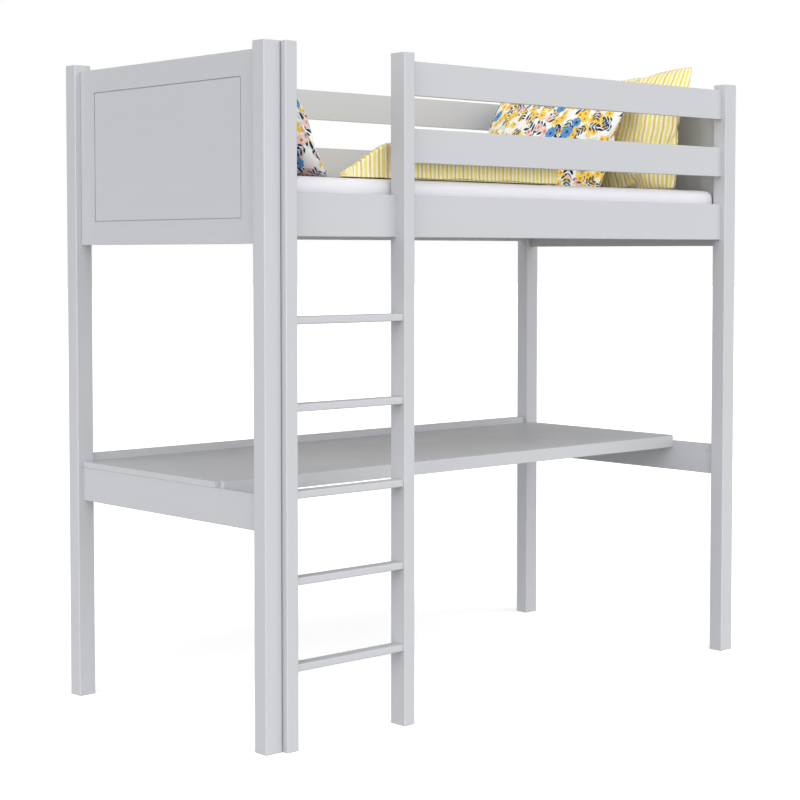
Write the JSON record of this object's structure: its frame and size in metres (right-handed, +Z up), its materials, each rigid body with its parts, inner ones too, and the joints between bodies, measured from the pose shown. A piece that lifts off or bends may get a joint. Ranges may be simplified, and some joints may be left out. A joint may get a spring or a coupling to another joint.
{
  "type": "loft bed with desk",
  "caption": "High single bed on square posts with guard boards, a vertical ladder at one end of the front, a full-length desk top underneath, and a mattress with pillows and a duvet.",
  "frame": {"origin": "on the floor, in the middle of the length and of the depth over the ladder and the posts", "axes": "+X along the bed towards the end away from the ladder, +Y from the ladder side to the back, +Z up"},
  "size_m": [2.0776, 1.015, 2.0358],
  "materials": {
    "painted_wood": "satin",
    "bare_wood": "matte",
    "zinc_steel": "satin",
    "cam_caps": "satin",
    "white_fabric": "matte",
    "striped_cotton": "matte",
    "floral_cotton": "matte"
  },
  "bodies": {
    "bed_frame": {"cam_housings": "cam_caps", "cam_pins": "zinc_steel", "desk_apron": "painted_wood", "desk_beam_left": "painted_wood", "desk_beam_right": "painted_wood", "desk_brackets": "zinc_steel", "desk_screws": "zinc_steel", "desk_top": "painted_wood", "desk_upstand": "painted_wood", "end_left_panel": "painted_wood", "end_left_rail_bottom": "painted_wood", "end_left_rail_top": "painted_wood", "end_left_stile_back": "painted_wood", "end_left_stile_front": "painted_wood", "end_right_panel": "painted_wood", "end_right_rail_bottom": "painted_wood", "end_right_rail_top": "painted_wood", "end_right_stile_back": "painted_wood", "end_right_stile_front": "painted_wood", "guard_back_lower": "painted_wood", "guard_back_top": "painted_wood", "guard_front_lower": "painted_wood", "guard_front_top": "painted_wood", "ladder_bolts": "zinc_steel", "ladder_post_left": "painted_wood", "ladder_post_right": "painted_wood", "post_back_left": "painted_wood", "post_back_right": "painted_wood", "post_front_left": "painted_wood", "post_front_right": "painted_wood", "rung_1": "painted_wood", "rung_2": "painted_wood", "rung_3": "painted_wood", "rung_4": "painted_wood", "rung_5": "painted_wood", "rung_screws": "zinc_steel", "side_rail_back": "painted_wood", "side_rail_front": "painted_wood", "slat_01": "bare_wood", "slat_02": "bare_wood", "slat_03": "bare_wood", "slat_04": "bare_wood", "slat_05": "bare_wood", "slat_06": "bare_wood", "slat_07": "bare_wood", "slat_08": "bare_wood", "slat_09": "bare_wood", "slat_10": "bare_wood", "slat_11": "bare_wood", "slat_12": "bare_wood", "slat_13": "bare_wood", "slat_ledger_back": "painted_wood", "slat_ledger_front": "painted_wood", "slat_screws": "zinc_steel", "wood_dowels": "bare_wood"},
    "bedding": {"mattress": "white_fabric", "duvet": "striped_cotton", "pillow_floral_left": "floral_cotton", "pillow_floral_right": "floral_cotton", "pillow_striped": "striped_cotton"}
  },
  "joints": [
    {"name": "mattress_lift", "type": "slide", "parent": "bed_frame", "child": "bedding", "axis": [0, 0, 1], "range_m": [0, 0.5]}
  ]
}
